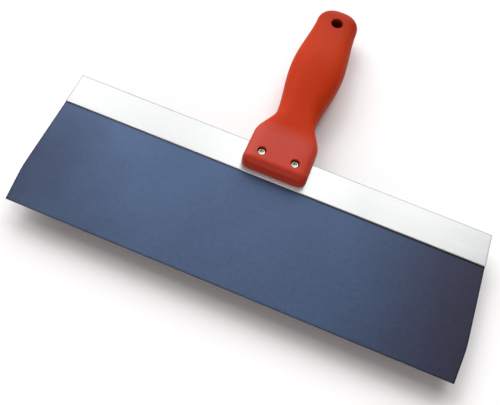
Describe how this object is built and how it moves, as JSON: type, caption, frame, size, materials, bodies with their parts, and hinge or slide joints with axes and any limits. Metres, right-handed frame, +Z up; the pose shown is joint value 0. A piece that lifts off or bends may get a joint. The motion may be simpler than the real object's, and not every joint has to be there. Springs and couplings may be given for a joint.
{
  "type": "taping knife",
  "caption": "Wide flexible taping knife: thin blued spring-steel blade in a folded metal backing, with a riveted moulded handle and a hang hole.",
  "frame": {"origin": "middle of the knife in plan, at the height of the underside of the grip, with the knife lying flat", "axes": "+X along the working edge, +Y from the working edge to the handle, +Z up out of the face with the rivets' set ends"},
  "size_m": [0.254, 0.205, 0.024],
  "materials": {
    "blade": "blued, satin, fine lengthwise grain",
    "backing": "satin, faint lengthwise brushing",
    "handle": "satin moulded polypropylene, red",
    "rivets": "plated, satin"
  },
  "bodies": {
    "handle_and_backing": {"handle": "handle", "backing_channel": "backing", "blade_root": "blade", "left_rivet": "rivets", "right_rivet": "rivets"},
    "free_blade": {"blade_leaf": "blade"}
  },
  "joints": [
    {"name": "blade_flex", "type": "hinge", "parent": "handle_and_backing", "child": "free_blade", "pos_m": [0, -0.0447, 0.012], "axis": [1, 0, 0], "range_deg": [-20, 20], "stiffness_Nm_per_rad": 17.5}
  ]
}
